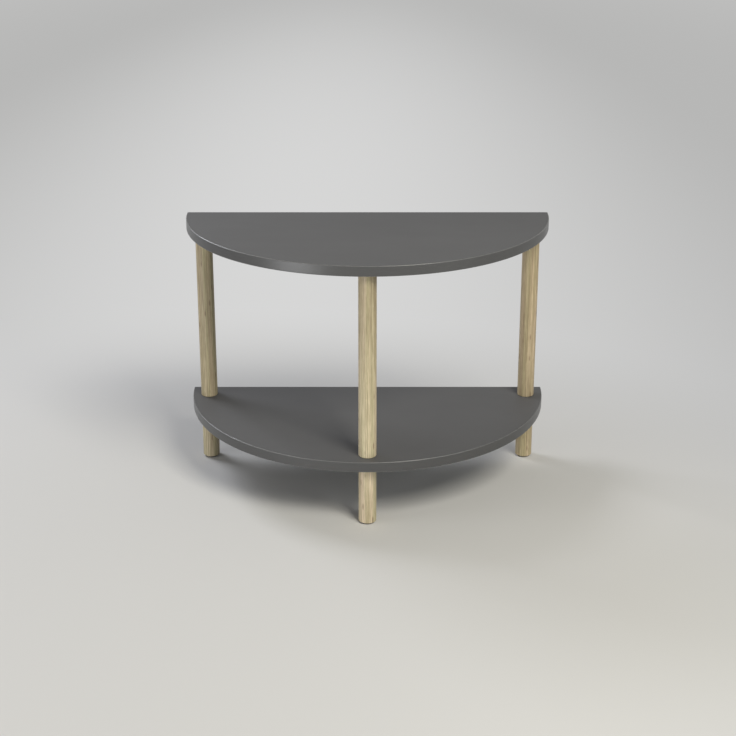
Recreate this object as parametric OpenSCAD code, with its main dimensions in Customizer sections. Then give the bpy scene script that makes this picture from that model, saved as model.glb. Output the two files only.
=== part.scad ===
// Half-round two-tier occasional table: two half-round boards on three round wooden legs.
// Each leg is an upper and a lower dowel. A hanger bolt in the top of the lower dowel passes
// through the shelf into a nut in the upper dowel, and another joins the upper dowel to the top.
// The flat edge faces +Y and goes to the wall, the curve faces -Y, and the floor is at Z = 0.

/* [Boards] */
// Width of both boards along the flat edge, which is twice the radius of their curve
board_w = 650; // [560:10:760]
// Thickness of a board over both faces
board_t = 18; // [16:1:25]
// Thickness of the plastic band glued round a board's edges
band_t = 2; // [1.5:0.5:3]
// Radius trimmed along the outer corners of the band
band_arris_r = 1.5; // [0.5:0.1:1.5]

/* [Legs] */
// Diameter of the dowels
leg_d = 30; // [26:1:40]
// Radius sanded on the end corners of the dowels
leg_arris_r = 1.2; // [0.5:0.1:2]
// Length of an upper dowel, between the shelf and the top
upper_leg_l = 322; // [220:1:420]
// Length of a lower dowel, between its pad and the shelf
lower_leg_l = 102.5; // [70:0.5:160]
// Distance from the curved edge of a board to the axis of each leg
leg_inset = 30; // [22:1:45]
// Distance from the flat edge of a board to the axes of the two rear legs
rear_leg_setback = 35; // [22:1:60]

/* [Foot pads] */
// Diameter of the felt pads under the legs
pad_d = 25; // [18:1:25]
// Thickness of the felt pads
pad_t = 2.5; // [1.5:0.5:5]

/* [Hanger bolts] */
// Outer diameter of both threads of a hanger bolt
bolt_d = 8; // [6:1:8]
// Length of the wood thread that is driven into a dowel
wood_thread_l = 28; // [20:1:40]
// Length of the taper at the tip of the wood thread
wood_tip_l = 6; // [3:1:8]
// Diameter of the flat at the end of that taper
wood_tip_d = 3; // [2:0.5:4]
// Length of the machine thread that is engaged in a nut
nut_grip_l = 11; // [8:1:11]
// Chamfer on the end of the machine thread
thread_chamfer = 0.8; // [0.4:0.1:1.2]

/* [Threaded nuts] */
// Outer diameter of a drive-in nut
nut_d = 12; // [11:0.5:14]
// Length of a drive-in nut
nut_l = 13; // [12:1:13]
// Diameter of the flange at the mouth of a nut
nut_flange_d = 15; // [15:0.5:18]
// Thickness of that flange
nut_flange_t = 1.2; // [0.8:0.1:2]

/* [Fits] */
// Radial gap between a thread and what it turns in, and between a nut and its hole
fit_gap = 0.05; // [0.02:0.01:0.1]
// Radial gap round the hanger bolts where they pass through the shelf
shelf_hole_gap = 0.25; // [0.1:0.05:1]
// Depth left free past the end of a bolt or a nut in a blind hole
end_gap = 0.25; // [0.1:0.05:1]

/* [Finish] */
// Colour of the boards' melamine faces
board_colour = "#5c5c5c";
// Colour of the edge bands
band_colour = "#555555";
// Colour of the lacquered dowels
wood_colour = "#c2ad82";
// Colour of the zinc-plated fittings
steel_colour = "#b9bcc0";
// Colour of the felt pads
felt_colour = "#3f3d3a";

/* [Hidden] */
LEGS = ["left", "right", "front"];
BOARD_NODES = [for (b = ["top", "shelf"], n = ["board", "front_edge_band", "back_edge_band"]) str(b, "_", n)];
LEG_PIECES = ["upper_leg", "lower_leg", "top_nut", "top_hanger_bolt", "leg_nut", "shelf_hanger_bolt", "foot_pad"];

board_r = board_w / 2;
// The curve's centre lies on the flat edge, and the origin is half-way to the curve's front
back_y = board_r / 2;
// Heights of the faces that the legs run between
lower_leg_z = pad_t;
shelf_z = lower_leg_z + lower_leg_l;
upper_leg_z = shelf_z + board_t;
top_z = upper_leg_z + upper_leg_l;
// All three legs stand on one circle round the curve's centre
leg_circle_r = board_r - leg_inset;
rear_leg_x = sqrt(pow(leg_circle_r, 2) - pow(rear_leg_setback, 2));
leg_places = [
    [-rear_leg_x, back_y - rear_leg_setback],
    [rear_leg_x, back_y - rear_leg_setback],
    [0, back_y - leg_circle_r],
];
// Holes: a nut drops into its hole, and a bolt reaches past the nut's grip by its chamfer only
nut_hole_d = nut_d + 2 * fit_gap;
nut_flange_hole_d = nut_flange_d + 2 * fit_gap;
wood_hole_d = bolt_d + 2 * fit_gap;
shelf_hole_d = bolt_d + 2 * shelf_hole_gap;
nut_hole_l = nut_l + end_gap;
wood_hole_l = wood_thread_l + end_gap;
// Cutters run this far past the faces that they open
past = 1;
$fn = 96;

// Square bar, w by h, whose two corners at its right-hand side are rounded to r
module bar_section(w, h, r) {
    difference() {
        square([w, h]);
        for (low = [true, false])
            translate([w - r, low ? r : h - r])
                difference() {
                    translate([0, low ? -r - past : 0]) square([r + past, r + past]);
                    circle(r);
                }
    }
}

// Places its children at the curve's centre on the flat edge, z above the floor
module at_flat_edge(z) {
    translate([0, back_y, z]) children();
}

// Everything inside the curved band, which is round the whole curve
module inside_curved_band() {
    translate([0, 0, -past]) cylinder(r = board_r - band_t, h = board_t + 2 * past);
}

// Everything in front of the straight band, which is along the flat edge
module inside_straight_band() {
    translate([-board_w, -board_w - band_t, -past]) cube([2 * board_w, board_w, board_t + 2 * past]);
}

// Whole half-round board with its bands on, trimmed round along every outer corner
module banded_board() {
    intersection() {
        rotate_extrude() bar_section(board_r, board_t, band_arris_r);
        translate([-board_r, -board_r, 0])
            rotate([90, 0, 90])
                linear_extrude(height = board_w) bar_section(board_r, board_t, band_arris_r);
    }
}

// Chipboard panel, smaller than the whole board by the bands round it
module board_panel(z) {
    at_flat_edge(z)
        intersection() {
            banded_board();
            inside_curved_band();
            inside_straight_band();
        }
}

// Top panel, with a blind hole for each nut in its underside
module top_board() {
    color(board_colour)
        difference() {
            board_panel(top_z);
            for (p = leg_places) translate([p.x, p.y, top_z]) nut_hole();
        }
}

// Shelf panel, with a clearance hole at each leg
module shelf_board() {
    color(board_colour)
        difference() {
            board_panel(shelf_z);
            for (p = leg_places)
                translate([p.x, p.y, shelf_z - past]) cylinder(d = shelf_hole_d, h = board_t + 2 * past);
        }
}

// Band round the curve, whose ends also cover the ends of the straight band
module front_edge_band(z) {
    color(band_colour)
        at_flat_edge(z)
            difference() {
                banded_board();
                inside_curved_band();
            }
}

// Band along the flat edge, between the two ends of the curved one
module back_edge_band(z) {
    color(band_colour)
        at_flat_edge(z)
            difference() {
                intersection() {
                    banded_board();
                    inside_curved_band();
                }
                inside_straight_band();
            }
}

// Blind hole for a drive-in nut, opening downwards at z = 0, with a seat for the flange
module nut_hole() {
    translate([0, 0, -past]) cylinder(d = nut_hole_d, h = nut_hole_l + past);
    translate([0, 0, -past]) cylinder(d = nut_flange_hole_d, h = nut_flange_t + past);
}

// Drive-in nut with its mouth at z = 0, flush with the face that it is driven into
module drive_in_nut() {
    color(steel_colour)
        difference() {
            union() {
                cylinder(d = nut_d, h = nut_l);
                cylinder(d = nut_flange_d, h = nut_flange_t);
            }
            translate([0, 0, -past]) cylinder(d = bolt_d + 2 * fit_gap, h = nut_l + 2 * past);
        }
}

// Hanger bolt with its wood thread below z = 0 and its machine thread above, machine_l long
module hanger_bolt(machine_l) {
    color(steel_colour) {
        translate([0, 0, wood_tip_l - wood_thread_l])
            cylinder(d = bolt_d, h = wood_thread_l - wood_tip_l + machine_l - thread_chamfer);
        translate([0, 0, -wood_thread_l]) cylinder(d1 = wood_tip_d, d2 = bolt_d, h = wood_tip_l);
        translate([0, 0, machine_l - thread_chamfer])
            cylinder(d1 = bolt_d, d2 = bolt_d - 2 * thread_chamfer, h = thread_chamfer);
    }
}

// Plain dowel of length l, with its end corners sanded round
module dowel(l) {
    rotate_extrude() bar_section(leg_d / 2, l, leg_arris_r);
}

// Blind hole for a wood thread, running down from z = 0
module wood_thread_hole() {
    translate([0, 0, -wood_hole_l]) cylinder(d = wood_hole_d, h = wood_hole_l + past);
}

// Upper dowel, with a nut hole in its foot and a bolt hole in its head
module upper_leg(p) {
    color(wood_colour)
        translate([p.x, p.y, upper_leg_z])
            difference() {
                dowel(upper_leg_l);
                nut_hole();
                translate([0, 0, upper_leg_l]) wood_thread_hole();
            }
}

// Lower dowel, with a bolt hole in its head
module lower_leg(p) {
    color(wood_colour)
        translate([p.x, p.y, lower_leg_z])
            difference() {
                dowel(lower_leg_l);
                translate([0, 0, lower_leg_l]) wood_thread_hole();
            }
}

// Self-adhesive felt disc under a lower dowel
module foot_pad(p) {
    color(felt_colour) translate([p.x, p.y, 0]) cylinder(d = pad_d, h = pad_t);
}

// Draws the piece called kind for the leg at place p
module leg_piece(kind, p) {
    if (kind == "upper_leg") upper_leg(p);
    if (kind == "lower_leg") lower_leg(p);
    if (kind == "top_nut") translate([p.x, p.y, top_z]) drive_in_nut();
    if (kind == "top_hanger_bolt") translate([p.x, p.y, top_z]) hanger_bolt(nut_grip_l);
    if (kind == "leg_nut") translate([p.x, p.y, upper_leg_z]) drive_in_nut();
    if (kind == "shelf_hanger_bolt") translate([p.x, p.y, shelf_z]) hanger_bolt(board_t + nut_grip_l);
    if (kind == "foot_pad") foot_pad(p);
}

top_board();
front_edge_band(top_z);  // top_front_edge_band
back_edge_band(top_z);  // top_back_edge_band
shelf_board();
front_edge_band(shelf_z);  // shelf_front_edge_band
back_edge_band(shelf_z);  // shelf_back_edge_band
for (kind = LEG_PIECES)
    for (i = [0 : len(LEGS) - 1])
        leg_piece(kind, leg_places[i]);
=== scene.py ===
import math

import bpy
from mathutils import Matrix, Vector


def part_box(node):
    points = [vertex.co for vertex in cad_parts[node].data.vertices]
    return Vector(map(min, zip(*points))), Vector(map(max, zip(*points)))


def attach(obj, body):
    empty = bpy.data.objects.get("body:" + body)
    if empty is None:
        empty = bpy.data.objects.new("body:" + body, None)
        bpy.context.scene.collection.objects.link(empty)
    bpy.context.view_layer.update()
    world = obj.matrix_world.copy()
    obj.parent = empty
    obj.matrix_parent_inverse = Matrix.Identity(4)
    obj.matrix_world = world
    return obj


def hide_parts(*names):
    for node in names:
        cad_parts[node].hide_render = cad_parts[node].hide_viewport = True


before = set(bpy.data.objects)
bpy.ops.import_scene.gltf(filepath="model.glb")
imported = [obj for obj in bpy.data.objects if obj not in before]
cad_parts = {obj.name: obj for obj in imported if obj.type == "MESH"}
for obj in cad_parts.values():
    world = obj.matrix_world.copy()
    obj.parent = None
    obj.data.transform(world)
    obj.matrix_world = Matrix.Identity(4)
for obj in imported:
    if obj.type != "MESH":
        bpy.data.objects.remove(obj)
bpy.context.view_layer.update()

# Camera
# It stands in front of the table's middle, a little over a metre up, and looks down on both boards. Its
# place and lens come from the outlines of the boards and legs in the photograph, which is square. The lens
# is shifted only so far that the table stays in the picture from its other sides as well.
photo_side_px = 736
lens_px = 1341.7
optical_centre_px = (367.5, 264.0)
camera_height = 1.0981
camera_to_back_edge = 2.339
camera_tilt = math.radians(17.41)
film_width_mm = 36.0
table_back_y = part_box("top_back_edge_band")[1].y

camera_data = bpy.data.cameras.new("camera")
camera_data.sensor_width = film_width_mm
camera_data.lens = film_width_mm * lens_px / photo_side_px
camera_data.shift_x = (photo_side_px / 2 - optical_centre_px[0]) / photo_side_px
camera_data.shift_y = (optical_centre_px[1] - photo_side_px / 2) / photo_side_px
camera = bpy.data.objects.new("camera", camera_data)
camera.location = (0, table_back_y - camera_to_back_edge, camera_height)
camera.rotation_euler = (math.pi / 2 - camera_tilt, 0, 0)
scene = bpy.context.scene
scene.collection.objects.link(camera)
scene.camera = camera
scene.view_settings.view_transform = "Standard"


# Floor and studio light
# A plain pale floor, lit by soft boxes round the table. Further out it turns into a backdrop that glows
# softly behind the table, and that into an even haze. The main box is high at the front right, and a low
# one at the front left puts the soft gleam on the curved edges.
floor_radius = 40.0
floor_sides = 96
floor_colour = (0.665, 0.66, 0.645)
floor_roughness = 0.85
floor_specular = 0.2
mottle_per_m = 1.4
mottle_shade = 0.985
# The lit floor, the glow and the haze are ovals: a metre towards the back counts squeeze times
lit_centre = (-0.35, -0.35)
lit_squeeze = 1.18
lit_to = 0.72
backdrop_from = 1.55
glow_centre = (-0.2, 1.5)
glow_squeeze = 0.2
glow_width = 1.7
haze_centre = (0, 0)
haze_squeeze = 0.35
haze_from = 2.1
haze_to = 6.5
backdrop_bright = (0.675, 0.675, 0.672)
backdrop_dim = (0.475, 0.475, 0.47)
surround_colour = (0.575, 0.575, 0.57)
surround_light = 0.125


def new_material(name):
    """An empty procedural material, its tree and its shader."""
    made = bpy.data.materials.new(name)
    made.use_nodes = True
    return made, made.node_tree, made.node_tree.nodes["Principled BSDF"]


def wire(tree, *pairs):
    """Joins each output to its input."""
    for output, socket in pairs:
        tree.links.new(output, socket)


def node(tree, kind, **settings):
    """A new node with its settings, where a name that isn't a setting is an input's."""
    made = tree.nodes.new("ShaderNode" + kind)
    for name, value in settings.items():
        if hasattr(made, name):
            setattr(made, name, value)
        else:
            made.inputs[name.replace("_", " ")].default_value = value
    return made


def object_place(tree):
    """Place of a point of the surface, in metres."""
    return node(tree, "TexCoord").outputs["Object"]


def pattern(tree, place, kind, stretch=None, **settings):
    """A pattern over place, drawn out along each axis whose stretch is under 1 and closed up where over 1."""
    made = node(tree, kind, **settings)
    if stretch:
        drawn_out = node(tree, "Mapping", Scale=stretch)
        wire(tree, (place, drawn_out.inputs["Vector"]))
        place = drawn_out.outputs["Vector"]
    wire(tree, (place, made.inputs["Vector"]))
    return made


def shaded(colour, shade):
    """A colour made darker or lighter by a factor."""
    return tuple(shade * c for c in colour)


def tone_range(tree, factor, dark, light, span=(0.0, 1.0)):
    """Colour that goes from dark to light as factor goes over span."""
    ramp = node(tree, "ValToRGB")
    for stop, place, tone in zip(ramp.color_ramp.elements, span, (dark, light)):
        stop.position = place
        stop.color = (*tone, 1)
    wire(tree, (factor, ramp.inputs["Fac"]))
    return ramp.outputs["Color"]


def number_range(tree, factor, ends, span=(0.0, 1.0), way="LINEAR"):
    """Number that goes from one of the ends to the other as factor goes over span."""
    mapped = node(tree, "MapRange", interpolation_type=way, From_Min=span[0], From_Max=span[1],
                  To_Min=ends[0], To_Max=ends[1])
    wire(tree, (factor, mapped.inputs["Value"]))
    return mapped.outputs["Result"]


def layered(tree, factor, under, over, way="MIX"):
    """Colour over laid on colour under by factor, a number or an output."""
    colour_under, colour_over, colour_out = 6, 7, 2
    mixed = node(tree, "Mix", data_type="RGBA", blend_type=way)
    wire(tree, (under, mixed.inputs[colour_under]))
    if isinstance(factor, float):
        mixed.inputs["Factor"].default_value = factor
    else:
        wire(tree, (factor, mixed.inputs["Factor"]))
    if isinstance(over, tuple):
        mixed.inputs[colour_over].default_value = (*over, 1)
    else:
        wire(tree, (over, mixed.inputs[colour_over]))
    return mixed.outputs[colour_out]


def seen_rays(tree):
    """1 for rays that come straight or by a mirror or glass from the eye, else 0."""
    path = node(tree, "LightPath")
    seen = path.outputs["Is Camera Ray"]
    for ray in ("Is Glossy Ray", "Is Transmission Ray"):
        either = node(tree, "Math", operation="MAXIMUM")
        wire(tree, (seen, either.inputs[0]), (path.outputs[ray], either.inputs[1]))
        seen = either.outputs["Value"]
    return seen


def how_far_out(tree, place, centre, squeeze, start, end):
    """0 inside the oval round centre that reaches out to start, going smoothly to 1 at the one out to end."""
    moved = node(tree, "Mapping", Location=(-centre[0], -centre[1] * squeeze, 0), Scale=(1, squeeze, 1))
    away = node(tree, "VectorMath", operation="LENGTH")
    wire(tree, (place, moved.inputs["Vector"]), (moved.outputs["Vector"], away.inputs[0]))
    return number_range(tree, away.outputs["Value"], (0.0, 1.0), (start, end), "SMOOTHSTEP")


def full_turn(steps):
    """Angles of a full turn in equal steps."""
    return [math.tau * k / steps for k in range(steps)]


floor_mesh = bpy.data.meshes.new("floor")
floor_rim = [(floor_radius * math.cos(a), floor_radius * math.sin(a), 0) for a in full_turn(floor_sides)]
floor_mesh.from_pydata(floor_rim, [], [range(floor_sides)])
floor = bpy.data.objects.new("floor", floor_mesh)
scene.collection.objects.link(floor)

floor_finish, tree, shader = new_material("pale_floor")
shader.inputs["Roughness"].default_value = floor_roughness
shader.inputs["Specular IOR Level"].default_value = floor_specular
place = object_place(tree)
mottle = pattern(tree, place, "TexNoise", Scale=mottle_per_m, Detail=3.0)
floor_tone = tone_range(tree, mottle.outputs["Fac"], shaded(floor_colour, mottle_shade), floor_colour)
wire(tree, (floor_tone, shader.inputs["Base Color"]))

glow = how_far_out(tree, place, glow_centre, glow_squeeze, 0.0, glow_width)
haze = how_far_out(tree, place, haze_centre, haze_squeeze, haze_from, haze_to)
beyond = how_far_out(tree, place, lit_centre, lit_squeeze, lit_to, backdrop_from)
backdrop_tone = tone_range(tree, glow, backdrop_bright, backdrop_dim)
backdrop_tone = layered(tree, haze, backdrop_tone, surround_colour)
backdrop = node(tree, "Emission")
shown = node(tree, "Math", operation="MULTIPLY")
floor_or_backdrop = node(tree, "MixShader")
wire(tree, (backdrop_tone, backdrop.inputs["Color"]),
     (beyond, shown.inputs[0]),
     (seen_rays(tree), shown.inputs[1]),
     (shown.outputs["Value"], floor_or_backdrop.inputs["Fac"]),
     (shader.outputs["BSDF"], floor_or_backdrop.inputs[1]),
     (backdrop.outputs["Emission"], floor_or_backdrop.inputs[2]),
     (floor_or_backdrop.outputs["Shader"], tree.nodes["Material Output"].inputs["Surface"]))
floor_mesh.materials.append(floor_finish)

surround = bpy.data.worlds.new("surround")
surround.use_nodes = True
scene.world = surround
tree = surround.node_tree
background = tree.nodes["Background"]
background.inputs["Color"].default_value = (*surround_colour, 1)
level = number_range(tree, seen_rays(tree), (surround_light / surround_colour[0], 1.0))
wire(tree, (level, background.inputs["Strength"]))

table_middle = Vector((0, 0, 0.25))


def soft_box(name, place, size, watts, colour):
    """A soft box of a width and height that faces the middle of the table and isn't seen itself."""
    width, height = size
    lamp_data = bpy.data.lights.new(name, "AREA")
    lamp_data.shape = "RECTANGLE"
    lamp_data.size = width
    lamp_data.size_y = height
    lamp_data.energy = watts
    lamp_data.color = colour
    lamp = bpy.data.objects.new(name, lamp_data)
    lamp.location = place
    lamp.rotation_euler = (table_middle - Vector(place)).to_track_quat("-Z", "Y").to_euler()
    lamp.visible_camera = False
    scene.collection.objects.link(lamp)


soft_box("main_box", (0.947, -1.576, 2.088), size=(0.95, 0.95), watts=45.5, colour=(1.0, 0.965, 0.87))
soft_box("low_left_box", (-1.43, -1.53, 0.14), size=(0.85, 0.26), watts=16, colour=(0.97, 0.98, 1.0))
soft_box("back_left_box", (-1.439, 1.084, 1.512), size=(0.8, 0.8), watts=22, colour=(0.91, 0.93, 1.0))
soft_box("right_box", (1.63, -1.37, 0.75), size=(0.8, 1.0), watts=8.5, colour=(0.97, 1.0, 1.0))
soft_box("left_box", (-1.533, -0.558, 1.011), size=(0.6, 0.8), watts=3, colour=(1.0, 1.0, 1.0))


# Half-round panels
# The top and the shelf are the same chipboard panel, faced on both sides with a plain satin grey melamine
# foil. The bolts of the lower dowels go through the shelf, and the nuts above the upper dowels sit in blind
# holes in the top's underside.
panel_grey = (0.0995, 0.0995, 0.101)
panel_shades = (0.95, 1.04)
panel_roughness = (0.58, 0.62)
panel_specular = 0.33
cloud_per_m = 5.0
wiped_per_m = 16.0
wiped_stretch = (0.35, 1.0, 1.0)
pearl_per_m = 1500.0
pearl_depth = 0.00004
# Nearly all of a noise pattern lies between these two of its values
noise_span = (0.3, 0.7)


def cloudy(tree, noise, colour, shades):
    """Colour that goes from its one shade to its other over a noise pattern."""
    dark, light = [shaded(colour, shade) for shade in shades]
    return tone_range(tree, noise.outputs["Fac"], dark, light, noise_span)


def uneven(tree, noise, ends):
    """Number that goes from one of the ends to the other over a noise pattern."""
    return number_range(tree, noise.outputs["Fac"], ends, noise_span)


def raised(tree, shader, noise, strength, depth):
    """Lifts the surface where a noise pattern is light."""
    bump = node(tree, "Bump", Strength=strength, Distance=depth)
    wire(tree, (noise.outputs["Fac"], bump.inputs["Height"]),
         (bump.outputs["Normal"], shader.inputs["Normal"]))


panel_finish, tree, shader = new_material("satin_grey_melamine")
place = object_place(tree)
cloud = pattern(tree, place, "TexNoise", Scale=cloud_per_m, Detail=4.0, Roughness=0.55)
pearl = pattern(tree, place, "TexNoise", Scale=pearl_per_m, Detail=2.0)
wiped = pattern(tree, place, "TexNoise", wiped_stretch, Scale=wiped_per_m, Detail=5.0, Roughness=0.65)
wire(tree, (cloudy(tree, cloud, panel_grey, panel_shades), shader.inputs["Base Color"]),
     (uneven(tree, wiped, panel_roughness), shader.inputs["Roughness"]))
shader.inputs["Specular IOR Level"].default_value = panel_specular
raised(tree, shader, pearl, strength=0.25, depth=pearl_depth)
for panel in ("top_board", "shelf_board"):
    panel_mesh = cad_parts[panel].data
    panel_mesh.materials.clear()
    panel_mesh.materials.append(panel_finish)


# Edge bands
# Plastic edging in the panels' grey is glued round each board: one strip round the curve, whose ends cover
# those of a straight strip along the back. Its outer corners are rounded by scraping and are glossier than
# its
# face, and a fine glue line shows along its inner side. The middles of the rounded corners are much paler:
# partly the whitening left by the scraping and partly a painted highlight along the edges.
band_thickness = 0.002
band_arris = 0.0015
glue_line = 0.00018
band_grey = (0.073, 0.073, 0.073)
band_shades = (0.95, 1.05)
band_roughness = (0.30, 0.36)
band_specular = 0.42
streak_per_m = 60.0
streak_stretch = (1.0, 1.0, 14.0)
streak_depth = 0.00003
rub_per_m = 24.0
# The corners' paler grey is partly the whitening left by scraping and partly a painted highlight
arris_grey_and_highlight = (0.17, 0.17, 0.17)
arris_highlight_span = (0.25, 0.6)
arris_roughness = (0.34, 0.22)
scrape_per_m = 160.0
arris_steps = 8
# A row of points this far from each rounded corner keeps the flat face beside it from being shaded round
flat_start = 0.0002
curve_steps = 240
# Faces that meet at a larger angle than this meet at a sharp edge
sharp_angle = math.radians(32)

band_finish, tree, shader = new_material("satin_grey_edging")
place = object_place(tree)
streak = pattern(tree, place, "TexNoise", streak_stretch, Scale=streak_per_m, Detail=4.0)
rub = pattern(tree, place, "TexNoise", Scale=rub_per_m, Detail=5.0, Roughness=0.6)
wire(tree, (cloudy(tree, streak, band_grey, band_shades), shader.inputs["Base Color"]),
     (uneven(tree, rub, band_roughness), shader.inputs["Roughness"]))
shader.inputs["Specular IOR Level"].default_value = band_specular
raised(tree, shader, streak, strength=0.2, depth=streak_depth)

# Corner finish: a paler grey that is partly the plastic's whitening and partly a painted highlight
arris_finish_and_highlight, tree, shader = new_material("scraped_edging_corner_and_highlight")
scrape = pattern(tree, object_place(tree), "TexNoise", Scale=scrape_per_m, Detail=4.0, Roughness=0.6)
arris_tone_and_highlight = tone_range(tree, scrape.outputs["Fac"], band_grey, arris_grey_and_highlight, arris_highlight_span)
wire(tree, (arris_tone_and_highlight, shader.inputs["Base Color"]),
     (uneven(tree, scrape, arris_roughness), shader.inputs["Roughness"]))

quarter_turn = [math.pi / 2 * k / arris_steps for k in range(arris_steps + 1)]


def band_section(height):
    """Points of a strip's section: how far each is out from its glued side and up from its lower side."""
    reach = band_thickness - band_arris
    lower_corner = [(reach + band_arris * math.sin(a), band_arris * (1 - math.cos(a))) for a in quarter_turn]
    face = [(band_thickness, band_arris + flat_start), (band_thickness, height - band_arris - flat_start)]
    upper_corner = [(reach + band_arris * math.cos(a), height - band_arris * (1 - math.sin(a)))
                    for a in quarter_turn]
    lower_side = [(0, glue_line), (glue_line, 0)]
    upper_side = [(glue_line, height), (0, height - glue_line)]
    return lower_side + lower_corner + face + upper_corner + upper_side


def drop_at_back(from_back):
    """How far the rounded corner along the back lies below a board's face, at a distance from the back."""
    if from_back >= band_arris:
        return 0
    return band_arris - math.sqrt(band_arris ** 2 - (band_arris - from_back) ** 2)


def swept_piece(name, rings, finish, closed=False):
    """A mesh through rings of points, with a face at each end or with its last ring joined to its first."""
    count = len(rings[0])
    points = [point for ring in rings for point in ring]
    spans = len(rings) if closed else len(rings) - 1
    faces = []
    for i in range(spans):
        here, there = i * count, (i + 1) % len(rings) * count
        for j in range(count):
            beside = (j + 1) % count
            faces.append((here + j, here + beside, there + beside, there + j))
    if not closed:
        faces += [tuple(reversed(range(count))), tuple(range(len(points) - count, len(points)))]
    mesh = bpy.data.meshes.new(name)
    mesh.from_pydata(points, [], faces)
    mesh.validate()
    mesh.shade_smooth()
    mesh.set_sharp_from_angle(angle=sharp_angle)
    mesh.materials.append(finish)
    piece = bpy.data.objects.new(name, mesh)
    scene.collection.objects.link(piece)
    return piece


def scraped_and_highlit(piece, points_round):
    """Gives the middle faces of a strip's two rounded corners their own finish, whose paler grey is partly
    the whitening left by scraping and partly a painted highlight.
    """
    piece.data.materials.append(arris_finish_and_highlight)
    lower_corner_face, upper_corner_face, faces_left_out = 2, arris_steps + 5, 2
    middle = range(faces_left_out, arris_steps - faces_left_out)
    corner_faces = [first + k for first in (lower_corner_face, upper_corner_face) for k in middle]
    for face in piece.data.polygons:
        if len(face.vertices) == 4 and face.index % points_round in corner_faces:
            face.material_index = 1
    return piece


def curved_band(board):
    """The strip round the curve of a board."""
    low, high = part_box(board + "_front_edge_band")
    height = high.z - low.z
    rim = high.y - low.y
    near_end = [math.asin(band_arris * (1 - math.cos(a)) / rim) for a in quarter_turn[:-1]]
    round_curve = [math.pi * k / curve_steps for k in range(1, curve_steps)]
    rings = []
    for turn in near_end + round_curve + [math.pi - a for a in reversed(near_end)]:
        ring = []
        for out, up in band_section(height):
            away = rim - band_thickness + out
            drop = drop_at_back(away * math.sin(turn))
            up = min(max(up, drop), height - drop)
            ring.append((away * math.cos(turn), high.y - away * math.sin(turn), low.z + up))
        rings.append(ring)
    return scraped_and_highlit(swept_piece(board + "_curved_edging", rings, band_finish), len(rings[0]))


def straight_band(board):
    """The strip along the flat back edge of a board, its ends eased by as much as its glued corners."""
    low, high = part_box(board + "_back_edge_band")
    height = high.z - low.z
    rings = []
    for side, eased in ((-1, 1), (-1, 0), (1, 0), (1, 1)):
        along = side * (high.x - (1 - eased) * glue_line)
        inset = glue_line * eased
        ring = []
        for out, up in band_section(height):
            up = min(max(up, inset), height - inset)
            ring.append((along, high.y - band_thickness + min(out, band_thickness - inset), low.z + up))
        rings.append(ring)
    return scraped_and_highlit(swept_piece(board + "_straight_edging", rings, band_finish), len(rings[0]))


for board in ("top", "shelf"):
    bands = {"_front_edge_band": curved_band(board), "_back_edge_band": straight_band(board)}
    for stands_for, band in bands.items():
        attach(band, "root")
        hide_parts(board + stands_for)


# Dowel legs
# Each leg is two lengths of pale straight-grained dowel, one above the shelf and one below it, sanded and
# finished with a clear matt lacquer. The corners of their ends are eased. Both are drilled at the head for
# a bolt, and the upper one at the foot for a nut.
leg_names = ("left", "right", "front")
dowel_sides = 96
dowel_arris = 0.0012
bolt_hole_radius = 0.00405
bolt_hole_depth = 0.02825
nut_hole_radius = 0.00605
nut_hole_depth = 0.01325
nut_seat_radius = 0.00755
nut_seat_depth = 0.0012
# A turned piece closes on its axis in a ring as small as this
pin_radius = 0.00001
wood_light = (0.63, 0.53, 0.345)
wood_mid = (0.465, 0.38, 0.228)
wood_rosy = (0.56, 0.452, 0.302)
wood_khaki = (0.475, 0.418, 0.243)
wood_dark = (0.26, 0.185, 0.11)
wood_roughness = (0.62, 0.46)
wood_specular = 0.4
ring_scale = 85.0
ring_span = (0.15, 0.95)
ring_wander = 0.010
blush_most = 0.9
blush_span = (0.42, 0.60)
sap_most = 0.75
sap_span = (0.46, 0.62)
streak_shades = ((0.80, 0.79, 0.755), (1.13, 1.13, 1.135))
fibre_shades = ((0.74, 0.725, 0.69), (1.14, 1.14, 1.14))
fibre_span = (0.34, 0.66)
fibre_share = 0.8
fibre_depth = 0.00015
figure_shades = ((0.86, 0.85, 0.82), (1.08, 1.085, 1.09))
streak_span = (0.36, 0.64)
fleck_dark = (0.85, 0.0)
fleck_span = (0.09, 0.19)
pore_dark = (0.5, 0.0)
pore_span = (0.05, 0.15)

wood_finish, tree, shader = new_material("pale_dowel_wood")
place = node(tree, "Attribute", attribute_name="plank_place").outputs["Vector"]
plank_tone_and_painted_light = node(tree, "Attribute", attribute_name="plank_tone_and_painted_light").outputs["Color"]


def grain(place, along, kind="TexNoise", **settings):
    """A pattern drawn out along the dowel, where its scale is along times that across the dowel."""
    return pattern(tree, place, kind, (1.0, 1.0, along), **settings)


wander = grain(place, along=0.05, Scale=38.0, Detail=3.0, Roughness=0.5)
bend = node(tree, "VectorMath", operation="SCALE", Scale=ring_wander)
bent = node(tree, "VectorMath", operation="ADD")
wire(tree, (wander.outputs["Color"], bend.inputs[0]),
     (place, bent.inputs[0]),
     (bend.outputs["Vector"], bent.inputs[1]))
rings = pattern(tree, bent.outputs["Vector"], "TexWave", wave_type="RINGS", rings_direction="Z",
                wave_profile="SAW", Scale=ring_scale, Distortion=0.6, Detail=2.0)
streaks = grain(place, along=0.018, Scale=270.0, Detail=2.5, Roughness=0.6)
fibre = grain(place, along=0.03, Scale=800.0, Detail=3.0, Roughness=0.6)
blush = grain(place, along=0.04, Scale=110.0, Detail=2.0)
sap = grain(place, along=0.025, Scale=75.0, Detail=2.0)
figure = grain(bent.outputs["Vector"], along=0.08, Scale=420.0, Detail=3.0, Roughness=0.65)
flecks = grain(place, along=0.22, kind="TexVoronoi", Scale=110.0)
pores = grain(place, along=0.10, kind="TexVoronoi", Scale=520.0)

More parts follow.
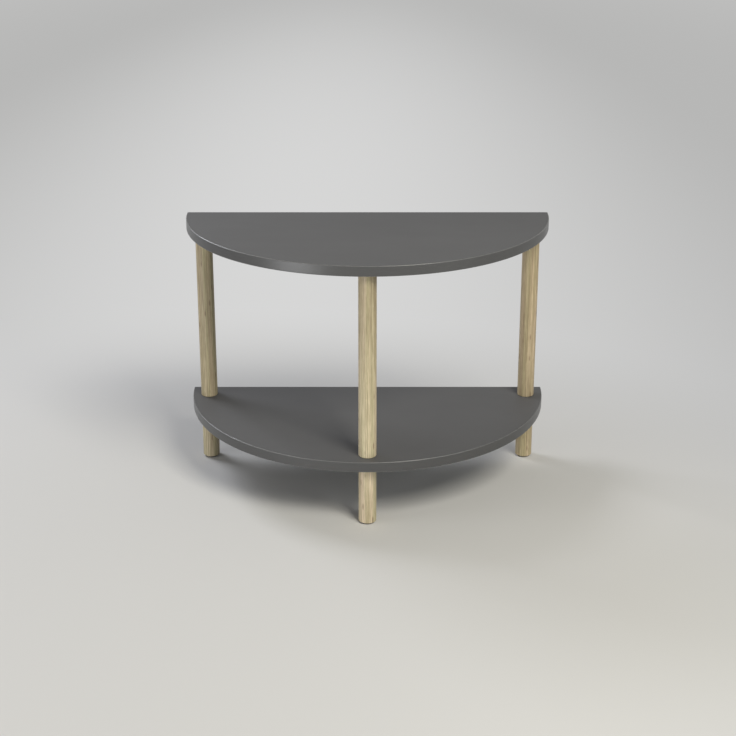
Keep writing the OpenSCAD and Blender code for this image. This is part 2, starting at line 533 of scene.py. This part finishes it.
tone = tone_range(tree, rings.outputs["Fac"], wood_light, wood_mid, ring_span)
how_rosy = number_range(tree, blush.outputs["Fac"], (0.0, blush_most), blush_span)
tone = layered(tree, how_rosy, tone, wood_rosy)
how_khaki = number_range(tree, sap.outputs["Fac"], (0.0, sap_most), sap_span)
tone = layered(tree, how_khaki, tone, wood_khaki)
shadings = (
    (streaks, streak_shades, streak_span, 1.0),
    (fibre, fibre_shades, fibre_span, fibre_share),
    (figure, figure_shades, streak_span, 1.0),
)
for lines, (dark, light), span, share in shadings:
    line_tone = tone_range(tree, lines.outputs["Fac"], dark, light, span)
    tone = layered(tree, share, tone, line_tone, "MULTIPLY")
for marks, darkness, span in ((flecks, fleck_dark, fleck_span), (pores, pore_dark, pore_span)):
    how_dark = number_range(tree, marks.outputs["Distance"], darkness, span)
    tone = layered(tree, how_dark, tone, wood_dark)
# Multiplies in each length's tone, which carries painted light and shade along with the plank's own tone
tone = layered(tree, 1.0, tone, plank_tone_and_painted_light, "MULTIPLY")
wire(tree, (tone, shader.inputs["Base Color"]),
     (uneven(tree, fibre, wood_roughness), shader.inputs["Roughness"]))
shader.inputs["Specular IOR Level"].default_value = wood_specular
raised(tree, shader, fibre, strength=0.35, depth=fibre_depth)


def middle_of(low, high, up):
    """The point at height up on the upright axis of a box."""
    return Vector(((low.x + high.x) / 2, (low.y + high.y) / 2, up))


def round_ring(centre, up, turns, radii):
    """Points round the upright axis through centre and up above it, one for each turn and its radius."""
    return [(centre.x + radius * math.cos(turn), centre.y + radius * math.sin(turn), centre.z + up)
            for turn, radius in zip(turns, radii)]


def turned_piece(name, outline, centre, finish):
    """A piece turned about the upright axis through centre, from its outline of radii and heights."""
    turns = full_turn(dowel_sides)
    rings = [round_ring(centre, up, turns, [radius] * dowel_sides) for radius, up in outline]
    return swept_piece(name, rings, finish)


def dowel_side(radius, length):
    """Outline of a dowel's side from its foot to its head, with both end corners eased."""
    foot_corner = [(radius - dowel_arris * (1 - math.sin(a)), dowel_arris * (1 - math.cos(a)))
                   for a in quarter_turn]
    flat = [(radius, dowel_arris + flat_start), (radius, length - dowel_arris - flat_start)]
    head_corner = [(radius - dowel_arris * (1 - math.cos(a)), length - dowel_arris * (1 - math.sin(a)))
                   for a in quarter_turn]
    return foot_corner + flat + head_corner


# How light and warm the wood of each length is, at its foot and at its head. This is partly each plank's own
# tone and partly painted light and shade: each leg is made lighter or darker for how the lamps fall on it,
# the upper front and left dowels are darker at the head in the top's shade, and the front dowels are lighter
# lower down.
plank_tones_and_painted_light = {
    ("upper", "left"): ((0.78, 0.793, 0.815), (0.735, 0.753, 0.767)),
    ("upper", "right"): ((0.815, 0.795, 0.81), (0.83, 0.805, 0.82)),
    ("upper", "front"): ((1.10, 1.135, 1.25), (0.735, 0.745, 0.76)),
    ("lower", "left"): ((0.82, 0.845, 0.90), (0.82, 0.845, 0.90)),
    ("lower", "right"): ((0.81, 0.80, 0.80), (0.81, 0.80, 0.80)),
    ("lower", "front"): ((1.05, 1.08, 1.17), (1.08, 1.11, 1.22)),
}
# Where each length was in the plank: the turn of its grain, how far from the heart, and how far along
plank_places = {
    ("upper", "left"): (2.6, 0.083, 8.3),
    ("upper", "right"): (5.76, 0.088, 1.4),
    ("upper", "front"): (3.67, 0.064, 2.7),
    ("lower", "left"): (0.52, 0.079, 3.9),
    ("lower", "right"): (3.67, 0.067, 4.6),
    ("lower", "front"): (5.24, 0.081, 6.1),
}


def dowel(which, leg):
    """One length of dowel, drilled at its head and, above the shelf, at its foot too."""
    node_name = which + "_leg_" + leg
    low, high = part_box(node_name)
    radius = (high.x - low.x) / 2
    length = high.z - low.z
    centre = middle_of(low, high, low.z)
    foot = [(pin_radius, 0)]
    if which == "upper":
        nut_hole = [(pin_radius, nut_hole_depth), (nut_hole_radius, nut_hole_depth)]
        nut_hole.append((nut_hole_radius, nut_seat_depth))
        nut_seat = [(nut_seat_radius, nut_seat_depth), (nut_seat_radius, 0)]
        foot = nut_hole + nut_seat
    hole_bottom = length - bolt_hole_depth
    head = [(bolt_hole_radius, length), (bolt_hole_radius, hole_bottom), (pin_radius, hole_bottom)]
    outline = foot + dowel_side(radius, length) + head
    piece = turned_piece(node_name + "_dowel", outline, centre, wood_finish)
    lie, across, along = plank_places[which, leg]
    places = piece.data.attributes.new("plank_place", "FLOAT_VECTOR", "POINT")
    for vertex, spot in zip(piece.data.vertices, places.data):
        x, y, z = vertex.co - centre
        spot.vector = (x * math.cos(lie) - y * math.sin(lie) + across,
                       x * math.sin(lie) + y * math.cos(lie),
                       z + along)
    # The tone runs from foot to head, which paints the top's shade onto the heads and extra light onto the
    # feet
    foot_tone_and_light, head_tone_and_light = plank_tones_and_painted_light[which, leg]
    tints = piece.data.attributes.new("plank_tone_and_painted_light", "FLOAT_COLOR", "POINT")
    for vertex, tint in zip(piece.data.vertices, tints.data):
        part = (vertex.co.z - low.z) / length
        shade = [at_foot + part * (at_head - at_foot) for at_foot, at_head in zip(foot_tone_and_light, head_tone_and_light)]
        tint.color = (*shade, 1)
    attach(piece, "root")
    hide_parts(node_name)


for which in ("upper", "lower"):
    for leg in leg_names:
        dowel(which, leg)


# Foot pads
# A disc of dark pressed felt with a sticky face, pressed on under each lower dowel.
# The table's weight rounds out its side a little.
felt_bulge = 0.0003
felt_steps = 8
felt_dark = (0.030, 0.028, 0.026)
felt_light = (0.075, 0.070, 0.064)
felt_roughness = 0.95
felt_sheen = 0.3
felt_sheen_roughness = 0.6
matting_per_m = 900.0
tuft_depth = 0.0004

felt_finish, tree, shader = new_material("dark_felt")
matted = pattern(tree, object_place(tree), "TexNoise", Scale=matting_per_m, Detail=6.0, Roughness=0.75)
felt_tone = tone_range(tree, matted.outputs["Fac"], felt_dark, felt_light, noise_span)
wire(tree, (felt_tone, shader.inputs["Base Color"]))
shader.inputs["Roughness"].default_value = felt_roughness
shader.inputs["Sheen Weight"].default_value = felt_sheen
shader.inputs["Sheen Roughness"].default_value = felt_sheen_roughness
raised(tree, shader, matted, strength=0.9, depth=tuft_depth)

for leg in leg_names:
    low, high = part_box("foot_pad_" + leg)
    radius = (high.x - low.x) / 2
    height = high.z - low.z
    face_radius = radius - 2 * felt_bulge
    outline = [(pin_radius, 0), (face_radius, 0)]
    for k in range(1, felt_steps):
        inset = felt_bulge * (1 - math.sin(math.pi * k / felt_steps))
        outline.append((radius - inset, height * k / felt_steps))
    outline += [(face_radius, height), (pin_radius, height)]
    pad = turned_piece("felt_pad_" + leg, outline, middle_of(low, high, low.z), felt_finish)
    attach(pad, "root")
    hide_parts("foot_pad_" + leg)


# Hanger bolts
# Zinc-plated steel bolts with a coarse wood thread at one end, driven into a dowel's head, and a fine
# machine thread at the other. Three go up through the shelf into the upper dowels, and three go up into
# the top.
machine_pitch = 0.00125
machine_cut = 0.00065
wood_pitch = 0.0032
wood_cut = 0.0011
wood_tip = 0.006
wood_tip_radius = 0.0015
# The core inside a thread keeps at least this part of the radius, also where the tip narrows
core_part = 0.4
thread_sides = 40
rows_per_turn = 8
zinc_dark = (0.50, 0.51, 0.52)
zinc_light = (0.66, 0.66, 0.65)
zinc_roughness = (0.28, 0.42)
bloom_per_m = 140.0

zinc_finish, tree, shader = new_material("zinc_plated_steel")
bloom = pattern(tree, object_place(tree), "TexNoise", Scale=bloom_per_m, Detail=4.0)
zinc_tone = tone_range(tree, bloom.outputs["Fac"], zinc_dark, zinc_light, noise_span)
wire(tree, (zinc_tone, shader.inputs["Base Color"]),
     (uneven(tree, bloom, zinc_roughness), shader.inputs["Roughness"]))
shader.inputs["Metallic"].default_value = 1.0

thread_turns = full_turn(thread_sides)


def thread_depth(up, turn, pitch, cut):
    """Depth of a right-hand thread of V section below its crest, at a height and a turn about the axis."""
    phase = (up / pitch - turn / math.tau) % 1
    return cut * abs(2 * phase - 1)


def dowel_head(which, leg):
    """Height of a dowel's head, which is where the two threads of the bolt in it meet."""
    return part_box(which + "_leg_" + leg)[1].z


def bolt(name, stands_for, joint_z):
    """A hanger bolt whose two threads meet at the height joint_z."""
    low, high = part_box(stands_for)
    crest = (high.x - low.x) / 2
    centre = middle_of(low, high, joint_z)
    bottom, end = low.z - joint_z, high.z - joint_z
    rings = []
    up = bottom
    while up < end:
        pitch, cut = (wood_pitch, wood_cut) if up < 0 else (machine_pitch, machine_cut)
        taper = min(1, (up - bottom) / wood_tip)
        lead = min(crest, wood_tip_radius + (crest - wood_tip_radius) * taper, crest - machine_cut + end - up)
        radii = [max(lead - thread_depth(up, turn, pitch, cut), core_part * lead) for turn in thread_turns]
        rings.append(round_ring(centre, up, thread_turns, radii))
        up += pitch / rows_per_turn
    piece = swept_piece(name, rings, zinc_finish)
    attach(piece, "root")
    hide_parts(stands_for)


for leg in leg_names:
    bolt("top_bolt_" + leg, "top_hanger_bolt_" + leg, dowel_head("upper", leg))
    bolt("shelf_bolt_" + leg, "shelf_hanger_bolt_" + leg, dowel_head("lower", leg))


# Drive-in nuts
# Zinc-plated nuts with barbs that bite in their hole and a thin flange that ends flush with the face. One
# is in the foot of each upper dowel and one above each in the underside of the top, and each takes the
# machine thread of a hanger bolt.
flange_thickness = 0.0012
body_radius = 0.006
barb_depth = 0.0006
barbs = 5
# A barb narrows over this part of its length and then steps out to the next
barb_slope = 0.95
nut_thread_gap = 0.00005


def drive_in_nut(stands_for, bolt_name, joint_z):
    """A nut round the machine thread of a bolt, where that thread starts at the height joint_z."""
    low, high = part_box(stands_for)
    bolt_low, bolt_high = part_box(bolt_name)
    crest = (bolt_high.x - bolt_low.x) / 2 + nut_thread_gap
    flange_radius = (high.x - low.x) / 2
    height = high.z - low.z
    centre = middle_of(low, high, low.z)
    barb = (height - flange_thickness) / barbs
    outline = [(flange_radius, 0), (flange_radius, flange_thickness)]
    for k in range(barbs):
        outline.append((body_radius, flange_thickness + k * barb))
        outline.append((body_radius - barb_depth, flange_thickness + (k + barb_slope) * barb))
    outline.append((body_radius - barb_depth, height))
    rings = [round_ring(centre, up, thread_turns, [radius] * thread_sides) for radius, up in outline]
    rows = round(height / machine_pitch * rows_per_turn)
    for row in range(rows, -1, -1):
        up = height * row / rows
        thread_up = low.z + up - joint_z
        radii = [crest - thread_depth(thread_up, turn, machine_pitch, machine_cut) for turn in thread_turns]
        rings.append(round_ring(centre, up, thread_turns, radii))
    piece = swept_piece(stands_for + "_barbed", rings, zinc_finish, closed=True)
    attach(piece, "root")
    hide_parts(stands_for)


for leg in leg_names:
    drive_in_nut("top_nut_" + leg, "top_hanger_bolt_" + leg, dowel_head("upper", leg))
    drive_in_nut("leg_nut_" + leg, "shelf_hanger_bolt_" + leg, dowel_head("lower", leg))
